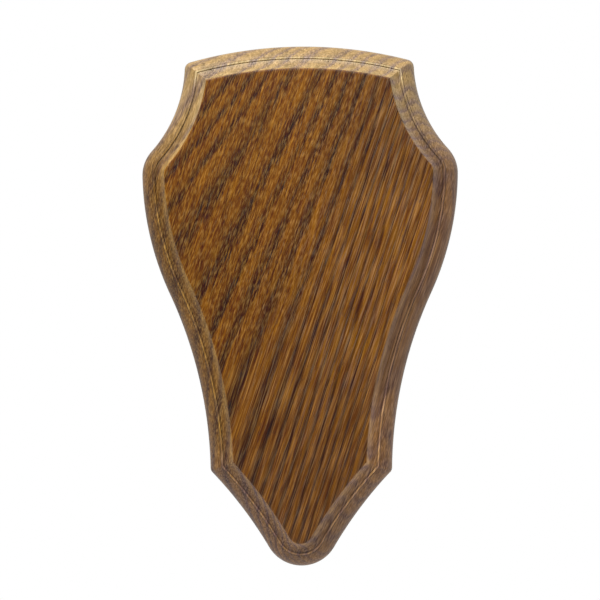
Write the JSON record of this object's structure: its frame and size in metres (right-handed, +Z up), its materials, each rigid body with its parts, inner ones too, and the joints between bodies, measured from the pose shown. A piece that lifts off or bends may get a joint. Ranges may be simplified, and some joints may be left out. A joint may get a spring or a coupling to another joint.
{
  "type": "antler mounting plaque",
  "caption": "Shield-shaped hardwood board with a routed cove-and-ovolo rim, hung on a wall to carry a skull plate and antlers.",
  "frame": {"origin": "centre of the board's height and width, on its flat back face", "axes": "+Z up the board towards its crown, +Y out of its back into the wall, so the moulded face looks along -Y"},
  "size_m": [0.1218, 0.018, 0.2],
  "materials": {
    "stained_oak": "dark brown stain under a thin satin wax, open pores"
  },
  "bodies": {
    "root": {"plaque_board": "stained_oak"}
  },
  "joints": []
}
